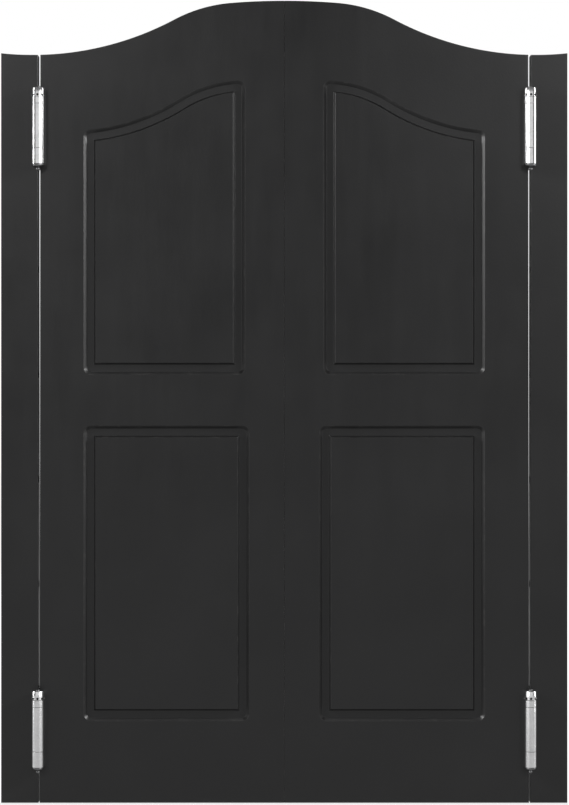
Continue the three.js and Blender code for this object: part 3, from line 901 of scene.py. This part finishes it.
def flat_sheet(bm, x, near, far, breaks, holes, round_far):
    """A flat in the plane at x, with vertices at the heights where a tab starts."""
    verts = [bm.verts.new((x, near, z)) for z in breaks]
    verts += [bm.verts.new((x, far, z)) for z in reversed(
        breaks if not round_far else (breaks[0], breaks[-1]))]
    edges = [bm.edges.new((a, b)) for a, b in zip(verts, verts[1:] + verts[:1])]
    if round_far:
        corners = [v for v in verts if abs(v.co.y - far) < 1e-7]
        bmesh.ops.bevel(bm, geom=corners, offset=PLATE_CORNER, segments=5, profile=0.5,
                        affect="VERTICES", material=-1)
    circles = [circle_in_yz(bm, x, y, z, HOLE, 24) for y, z in holes]
    bmesh.ops.triangle_fill(bm, use_beauty=True, edges=bm.edges[:])


def edges_along(bm, x, y, z0, z1):
    found = []
    for edge in bm.edges:
        a, b = (v.co for v in edge.verts)
        if all(abs(p.x - x) < 1e-6 and abs(p.y - y) < 1e-6 for p in (a, b)):
            if z0 - 1e-6 <= min(a.z, b.z) and max(a.z, b.z) <= z1 + 1e-6:
                found.append(edge)
    return found


print("sheet helpers ready; bend starts", round(BEND_START, 5), "from the axis")

# %% [markdown]
# ## Two kinds of plate
#
# The plates on the strip and on the leaf are the same pressing, turned end for end about
# the middle of the gap, so one mesh serves for both. The centre plate has a sleeve on each
# side. Only the rolled parts are polished, so each flat is marked as milled.

# %% The screwed plate and the centre plate
def mark_flat(bm, x):
    """Writes `milled`, 1 on the flat, which keeps the duller skin of the rolling mill."""
    layer = bm.verts.layers.float.new("milled")
    for vert in bm.verts:
        vert[layer] = 1.0 if abs(vert.co.x - x) < 1e-6 and abs(vert.co.y) < FACE else 0.0


def screwed_plate():
    """The plate on the strip, with a knuckle at each end of the front barrel."""
    bm = bmesh.new()
    x = FRONT_AXIS.x + HALF_PITCH
    near = FRONT_AXIS.y + BEND_START
    breaks = (0, BOTTOM_KNUCKLE, TOP_KNUCKLE, PLATE_HEIGHT)
    flat_sheet(bm, x, near, PLATE_REACH, breaks, plate_screw_points(), True)
    for low, high in ((0, BOTTOM_KNUCKLE), (TOP_KNUCKLE, PLATE_HEIGHT)):
        roll_tab(bm, edges_along(bm, x, near, low, high), FRONT_AXIS, 1, -1)
    bmesh.ops.remove_doubles(bm, verts=bm.verts, dist=1e-6)
    mark_flat(bm, x)
    bmesh.ops.recalc_face_normals(bm, faces=bm.faces)
    return bm


def centre_plate():
    """The plate between the other two, with a sleeve on each barrel."""
    bm = bmesh.new()
    x = FRONT_AXIS.x - HALF_PITCH
    near, far = FRONT_AXIS.y + BEND_START, BACK_AXIS.y - BEND_START
    breaks = (0, SLEEVE_BOTTOM, SLEEVE_TOP, PLATE_HEIGHT)
    flat_sheet(bm, x, near, far, breaks, (), False)
    roll_tab(bm, edges_along(bm, x, near, SLEEVE_BOTTOM, SLEEVE_TOP), FRONT_AXIS, -1, -1)
    roll_tab(bm, edges_along(bm, x, far, SLEEVE_BOTTOM, SLEEVE_TOP), BACK_AXIS, 1, 1)
    bmesh.ops.remove_doubles(bm, verts=bm.verts, dist=1e-6)
    mark_flat(bm, x)
    bmesh.ops.recalc_face_normals(bm, faces=bm.faces)
    return bm


MIDDLE = (FRONT_AXIS + BACK_AXIS) / 2
HALF_TURN = Matrix.Translation(MIDDLE) @ Matrix.Rotation(math.pi, 4, "Z") \
    @ Matrix.Translation(-MIDDLE)


def raised(bm, bottom, turned=False):
    """A copy of a piece, moved up to its hinge and turned about the gap if asked."""
    copy = bm.copy()
    if turned:
        bmesh.ops.transform(copy, matrix=HALF_TURN, verts=copy.verts)
    bmesh.ops.translate(copy, vec=(0, 0, bottom), verts=copy.verts)
    return copy


plates = {"jamb_flange": (screwed_plate(), False), "centre_flange": (centre_plate(), False)}
plates["door_flange"] = (plates["jamb_flange"][0], True)
for bm, _ in plates.values():
    smooth_shading(bm, 50)
print("plate faces", {name: len(bm.faces) for name, (bm, _) in plates.items()})


# %% [markdown]
# ## Placing the plates
#
# Each hinge has three plates, and each rides on a different body: the strip's side of the
# opening, the pair of centre plates that the upper and lower hinge of a side share, and
# the leaf.

# %% Placing the plates
def body_of_plate(side_name, plate):
    return {"jamb_flange": "opening_side", "door_flange": f"{side_name}_leaf",
            "centre_flange": f"{side_name}_centre_flanges"}[plate]


for side_name, side in SIDES.items():
    for level, bottom in HINGE_BOTTOMS.items():
        for plate, (bm, turned) in plates.items():
            placed = raised(bm, bottom, turned)
            hinge = f"{side_name}_{level}"
            add_piece(placed, f"{hinge}_{plate}_sheet", side, SHEET_STEEL,
                      body_of_plate(side_name, plate), [f"{hinge}_{plate}"],
                      SHEET)
            placed.free()

# %% [markdown]
# ## Collars, pins, spindles and buttons
#
# These are turned parts, so each starts as half a section drawn with a few vertices and
# spun round the barrel's axis. The collar's tommy-bar holes are made by bevelling one
# vertex of its wall into a round patch and extruding that patch inwards, which keeps the
# mesh clean. The foot button is a bead with a small drop under it.

# %% Turned pieces
TURN_STEPS = 32
BORE = 3.3 * MM
CHAMFER = 1.4 * MM
HOLE_RADIUS = 1.6 * MM
HOLE_DEPTH = 2.6 * MM
# past HOLE_LIP, a hole's wall and floor carry painted shade
HOLE_LIP = 0.5 * MM  # the bright part of a hole's wall, before it falls into the dark


def turned_piece(profile, steps=TURN_STEPS, closed=False):
    """Spins points given as (radius, height) in a full turn about the Z axis."""
    bm = bmesh.new()
    verts = [bm.verts.new((r, 0, z)) for r, z in profile]
    pairs = list(zip(verts, verts[1:])) + ([(verts[-1], verts[0])] if closed else [])
    edges = [bm.edges.new(pair) for pair in pairs]
    bmesh.ops.spin(bm, geom=verts + edges, cent=(0, 0, 0), axis=(0, 0, 1),
                   dvec=(0, 0, 0), angle=2 * math.pi, steps=steps, use_merge=True,
                   use_duplicate=False)
    bmesh.ops.remove_doubles(bm, verts=bm.verts, dist=1e-7)
    bmesh.ops.recalc_face_normals(bm, faces=bm.faces)
    return bm


def collar():
    r, e = BARREL_RADIUS, 0.25 * MM
    rows = [COLLAR_HOLES, COLLAR_HOLES + 2.2 * MM]
    profile = [(BORE, COLLAR_BOTTOM), (r - e, COLLAR_BOTTOM), (r, COLLAR_BOTTOM + e)]
    profile += [(r, z) for z in rows]
    profile += [(r, COLLAR_TOP - CHAMFER), (r - 0.3 * CHAMFER, COLLAR_TOP - 0.35 * CHAMFER),
                (r - CHAMFER, COLLAR_TOP), (BORE + e, COLLAR_TOP), (BORE, COLLAR_TOP - e)]
    bm = turned_piece(profile, closed=True)
    # `recess` marks where painted shade goes inside each tommy-bar hole
    recess = bm.verts.layers.float.new("recess")
    for i in range(8):
        angle = math.tau * i / 8
        out = Vector((math.cos(angle), math.sin(angle), 0))
        spot = r * out + Vector((0, 0, COLLAR_HOLES))
        vert = min(bm.verts, key=lambda v: (v.co - spot).length)
        patch = bmesh.ops.bevel(bm, geom=[vert], offset=HOLE_RADIUS, segments=5,
                                profile=0.5, affect="VERTICES", material=-1)["faces"]
        if len(patch) > 1:
            patch = bmesh.ops.dissolve_faces(bm, faces=patch)["region"]
        for corner_vert in patch[0].verts:
            aside = corner_vert.co - spot
            aside -= aside.dot(out) * out
            corner_vert.co = spot + HOLE_RADIUS * aside.normalized()
            sink = r - math.sqrt(r * r - (aside.normalized().cross(out).z * HOLE_RADIUS) ** 2)
            corner_vert.co -= sink * out
        inner = bmesh.ops.extrude_discrete_faces(bm, faces=patch)["faces"]
        bmesh.ops.translate(bm, vec=-HOLE_LIP * out, verts=inner[0].verts)
        inner = bmesh.ops.extrude_discrete_faces(bm, faces=inner)["faces"]
        bmesh.ops.translate(bm, vec=(HOLE_LIP - HOLE_DEPTH) * out, verts=inner[0].verts)
        # painted shade: the hole's floor and the wall next to it are coloured nearly black
        for vert in inner[0].verts:
            vert[recess] = 1.0
            for edge in vert.link_edges:
                edge.other_vert(vert)[recess] = 1.0
    bmesh.ops.recalc_face_normals(bm, faces=bm.faces)
    return bm


print("collar holes at", round(COLLAR_HOLES, 5), "above a hinge's foot")

# %% The pin, the spindle and the button
def cross_pin():
    """The pin through collar and spindle, its two ends just proud of the collar."""
    bm = bmesh.new()
    half = BARREL_RADIUS + 0.3 * MM
    lie = Matrix.Translation((0, 0, COLLAR_HOLES)) @ Matrix.Rotation(math.pi / 2, 4, "Y")
    bmesh.ops.create_cone(bm, cap_ends=True, segments=20, radius1=1.05 * MM,
                          radius2=1.05 * MM, depth=2 * half, matrix=lie)
    rims = [e for e in bm.edges if e.calc_face_angle(0) > 1]
    bmesh.ops.bevel(bm, geom=rims, offset=0.3 * MM, segments=3, profile=0.5,
                    affect="EDGES", material=-1)
    return bm


def spindle():
    top = COLLAR_TOP + 2.2 * MM
    r = 3 * MM
    dome = [(r * math.cos(a), top - 1.6 * MM + 1.6 * MM * math.sin(a))
            for a in [math.pi / 2 * i / 6 for i in range(7)]]
    dome[-1] = (0, top)
    return turned_piece([(0, 5.35 * MM), (r, 5.35 * MM), *dome], 24)


def button():
    """A turned bead under the barrel, a thin neck and a small round drop."""
    head = BARREL_RADIUS - 0.45 * MM
    shank = BARREL_RADIUS - PLATE - 0.5 * MM
    profile = [(0, 5 * MM), (shank, 5 * MM), (shank, -0.4 * MM), (head - 0.3 * MM, -0.4 * MM),
               (head, -0.8 * MM), (head, -1.5 * MM)]
    bead = [(head * math.cos(a) ** 0.8, -1.5 * MM - 3.2 * MM * math.sin(a))
            for a in [math.radians(d) for d in (15, 30, 45, 58, 68)]]
    drop = [(2.3 * MM, -5.2 * MM), (2.9 * MM, -6.0 * MM), (2.95 * MM, -6.9 * MM),
            (2.5 * MM, -7.8 * MM), (1.6 * MM, -8.5 * MM), (0.7 * MM, -8.9 * MM), (0, -9 * MM)]
    return turned_piece(profile + bead + drop, 28)


TURNED = {
    "collar": (collar(), TURNED_STEEL, "stainless_steel"),
    "cross_pin": (cross_pin(), SCREW_STEEL, "stainless_steel"),
    "spindle": (spindle(), DARK_STEEL, "spring_steel"),
    "button": (button(), DARK_STEEL, "spring_steel"),
}
for bm, _, _ in TURNED.values():
    smooth_shading(bm, 38)
print("turned faces", {name: len(t[0].faces) for name, t in TURNED.items()})

# %% [markdown]
# ## Placing the turned pieces
#
# Each barrel has the same four. Collar, pin and spindle turn together when the spring is
# wound, so they ride on the barrel's adjuster. The button is pressed into the bottom
# knuckle and rides on the strip or on the leaf. The springs are the CAD's own coils, and
# only get their steel.

# %% Turned pieces in all eight barrels
for side_name, side in SIDES.items():
    for level, bottom in HINGE_BOTTOMS.items():
        for barrel, axis in (("front", FRONT_AXIS), ("back", BACK_AXIS)):
            stem = f"{side_name}_{level}_{barrel}"
            frame_body = "opening_side" if barrel == "front" else f"{side_name}_leaf"
            for part, (bm, material, slot) in TURNED.items():
                placed = bm.copy()
                bmesh.ops.translate(placed, vec=axis + Vector((0, 0, bottom)),
                                    verts=placed.verts)
                body = frame_body if part == "button" else f"{stem}_adjuster"
                add_piece(placed, f"{stem}_{part}_turned", side, material, body,
                          [f"{stem}_{part}"])
                placed.free()
            spring_finish = frame["nodes"][f"{stem}_spring"].data.materials
            spring_finish.clear()
            spring_finish.append(DARK_STEEL)

# %% [markdown]
# ## Screws
#
# Each screwed plate is held by three countersunk screws. A screw's head is a spun cone
# with a slightly raised face. The cross recess is drawn as a small cross, filled into the
# face with the rim as one sheet, and then pushed in and narrowed.

# %% Countersunk screws with a cross recess
def cross_outline(bm, x, arm, width):
    corners = [(arm, width), (width, width), (width, arm)]
    points = []
    for quarter in range(4):
        c, s = math.cos(quarter * math.pi / 2), math.sin(quarter * math.pi / 2)
        points += [(c * a - s * b, s * a + c * b) for a, b in corners]
    verts = [bm.verts.new((x, a, b)) for a, b in points]
    return [bm.edges.new(pair) for pair in zip(verts, verts[1:] + verts[:1])]


def screw():
    """Made with its head at the origin, facing -X, and its point in the wood."""
    bm = bmesh.new()
    r, depth = 3.65 * MM, 2.4 * MM
    rounding = 0.25 * MM
    disc = circle_in_yz(bm, 0, 0, 0, r - rounding, 24)
    recess = cross_outline(bm, 0, 1.9 * MM, 0.42 * MM)
    centre = Vector((0, 0, 0))
    ring = extruded_ring(bm, disc, rounding, r / (r - rounding), centre)
    ring = extruded_ring(bm, ring, depth - rounding, 1.8 * MM / r, centre)
    ring = extruded_ring(bm, ring, 9 * MM, 0.85, centre)
    bmesh.ops.contextual_create(bm, geom=ring)
    bmesh.ops.triangle_fill(bm, use_beauty=True, edges=disc + recess)
    floor = bmesh.ops.contextual_create(bm, geom=recess)["faces"]
    pushed = bmesh.ops.extrude_discrete_faces(bm, faces=floor)["faces"]
    verts = list({v for f in pushed for v in f.verts})
    bmesh.ops.scale(bm, vec=(1, 0.45, 0.45), verts=verts)
    bmesh.ops.translate(bm, vec=(1.5 * MM, 0, 0), verts=verts)
    bmesh.ops.remove_doubles(bm, verts=bm.verts, dist=1e-7)
    bmesh.ops.recalc_face_normals(bm, faces=bm.faces)
    return bm


screw_shape = screw()
smooth_shading(screw_shape, 30)
print("screw faces", len(screw_shape.faces), "open edges",
      sum(1 for e in screw_shape.edges if not e.is_manifold))

# %% [markdown]
# ## Placing the screws
#
# The screw is copied to each hole and given its own quarter turn or so, because nobody
# lines up screw slots. Those of the leaf's plates are turned end for end with the plate.

# %% Placing the screws
HEAD_SUNK = 0.08 * MM  # a screw's head lies this far below its plate's face
screw_count = 0
for side_name, side in SIDES.items():
    for level, bottom in HINGE_BOTTOMS.items():
        for plate, body in (("jamb", "opening_side"), ("door", f"{side_name}_leaf")):
            for i, (y, z) in enumerate(plate_screw_points()):
                placed = screw_shape.copy()
                spin = Matrix.Rotation(math.radians(37 * i + 20), 4, "X")
                spot = Matrix.Translation((
                    FRONT_AXIS.x + HALF_PITCH - PLATE / 2 + HEAD_SUNK, y, z))
                bmesh.ops.transform(placed, matrix=spot @ spin, verts=placed.verts)
                if plate == "door":
                    bmesh.ops.transform(placed, matrix=HALF_TURN, verts=placed.verts)
                bmesh.ops.translate(placed, vec=(0, 0, bottom), verts=placed.verts)
                add_piece(placed, f"{side_name}_{level}_{plate}_screw_{i + 1}", side,
                          SCREW_STEEL, body)
                placed.free()
                screw_count += 1
print(screw_count, "screws")

# %% [markdown]
# ## Floor and light
#
# The doors stand on a plain pale floor in a white studio. The world and the floor are
# white where the camera sees them and much dimmer where they light the doors, because
# black paint shows mostly what it reflects. Two key softboxes, high at the left and the
# right, give the sheen, which is strongest near the outer top corners. Each lights only
# its own side, so a barrel throws its shadow on the leaf beside it.

# %% Floor and world
def seen_or_lit(tree, lit, seen):
    """One strength for what the camera sees and another for what reaches the doors."""
    path = node(tree, "ShaderNodeLightPath").outputs["Is Camera Ray"]
    return remap(tree, path, 0, 1, lit, seen)


def studio_floor():
    bm = bmesh.new()
    bmesh.ops.create_grid(bm, x_segments=2, y_segments=2, size=14)
    bmesh.ops.translate(bm, vec=(0, 0, -0.001), verts=bm.verts)
    mesh = bpy.data.meshes.new("floor")
    bm.to_mesh(mesh)
    bm.free()
    material, tree, shader = start_material("pale_floor")
    shader.inputs["Base Color"].default_value = (0.8, 0.8, 0.8, 1)
    shader.inputs["Roughness"].default_value = 0.7
    shader.inputs["Emission Color"].default_value = (1, 1, 1, 1)
    tree.links.new(seen_or_lit(tree, 0.4, 0.78), shader.inputs["Emission Strength"])
    mesh.materials.append(material)
    floor = bpy.data.objects.new("floor", mesh)
    bpy.context.collection.objects.link(floor)


def studio_world():
    world = bpy.data.worlds.new("studio")
    world.use_nodes = True
    bpy.context.scene.world = world
    tree = world.node_tree
    background = tree.nodes["Background"]
    background.inputs["Color"].default_value = (1, 1, 1, 1)
    tree.links.new(seen_or_lit(tree, 0.16, 1.0), background.inputs["Strength"])


studio_floor()
studio_world()
print("floor and world ready")

# %% [markdown]
# Two low-angled lights pick out the grooves. Each is linked to the far leaf's boards, so
# on both leaves the walls that face the middle are the bright ones, and most so near the
# top. A weak light beside each leaf keeps the walls that face away from the middle from
# going black, and one above lifts those that face up. The hinges need more light than
# the paint does. A broad panel in front fills the
# middle of each barrel, a bright panel from the room's far side whitens the side of the
# barrel that faces the leaf, and a narrow one close to the wall draws the thin bright
# line down its other side. All three are linked to the hinges only.

# %% Softboxes and what they light
def softbox(name, place, aim, width, height, watts):
    data = bpy.data.lights.new(name, "AREA")
    data.shape = "RECTANGLE"
    data.size, data.size_y = width, height
    data.energy = watts
    light = bpy.data.objects.new(name, data)
    light.location = place
    direction = Vector(aim) - Vector(place)
    light.rotation_euler = direction.to_track_quat("-Z", "Y").to_euler()
    light.visible_camera = False
    bpy.context.collection.objects.link(light)
    return light


def light_only(light, side_name, endings):
    """Links a light to the pieces of one side whose names end in one of `endings`."""
    group = bpy.data.collections.new(f"lit_by_{light.name}")
    for piece in bpy.data.objects:
        if piece.type == "MESH" and piece.name.startswith(side_name):
            if piece.name.rstrip("0123456789").endswith(endings):
                group.objects.link(piece)
    light.light_linking.receiver_collection = group


BOARDS = ("_board",)
HINGES = ("_sheet", "_turned", "_screw_")
SIDE_LIGHTS = [  # name, place and aim on the right-hand side, width, height, watts, pieces
    ("key", (1.8, -3.4, 2.1), (0, 0, 0.6), 1.3, 1.0, 34, BOARDS),
    ("groove_light", (-1.9, -0.62, 1.55), (0, 0, 0.95), 0.5, 0.6, 56, BOARDS),
    ("near_light", (1.9, -0.6, 0.8), (0, 0, 0.55), 0.5, 1.4, 5, BOARDS),
    ("above", (0.2, -0.7, 2.7), (0.2, 0, 0.5), 0.8, 0.5, 3, BOARDS),
    ("fill", (0.5, -3.4, 0.7), (0, 0, 0.6), 5.0, 2.6, 28, HINGES),
    ("broad", (-1.7, -1.5, 0.85), (0.3, 0, 0.5), 2.2, 1.7, 36, HINGES),
    ("rim", (2.0, -0.14, 0.9), (0.3, 0, 0.7), 0.26, 2.0, 20, HINGES),
]
for side_name, side in SIDES.items():
    for kind, place, aim, width, height, watts, lit in SIDE_LIGHTS:
        light = softbox(f"{side_name}_{kind}", (side * place[0], *place[1:]),
                        (side * aim[0], *aim[1:]), width, height, watts)
        light_only(light, side_name, lit)
softbox("back_softbox", (0, 3.2, 2.6), (0, 0, 0.5), 3.0, 1.2, 40)
bpy.context.scene.view_settings.view_transform = "Standard"
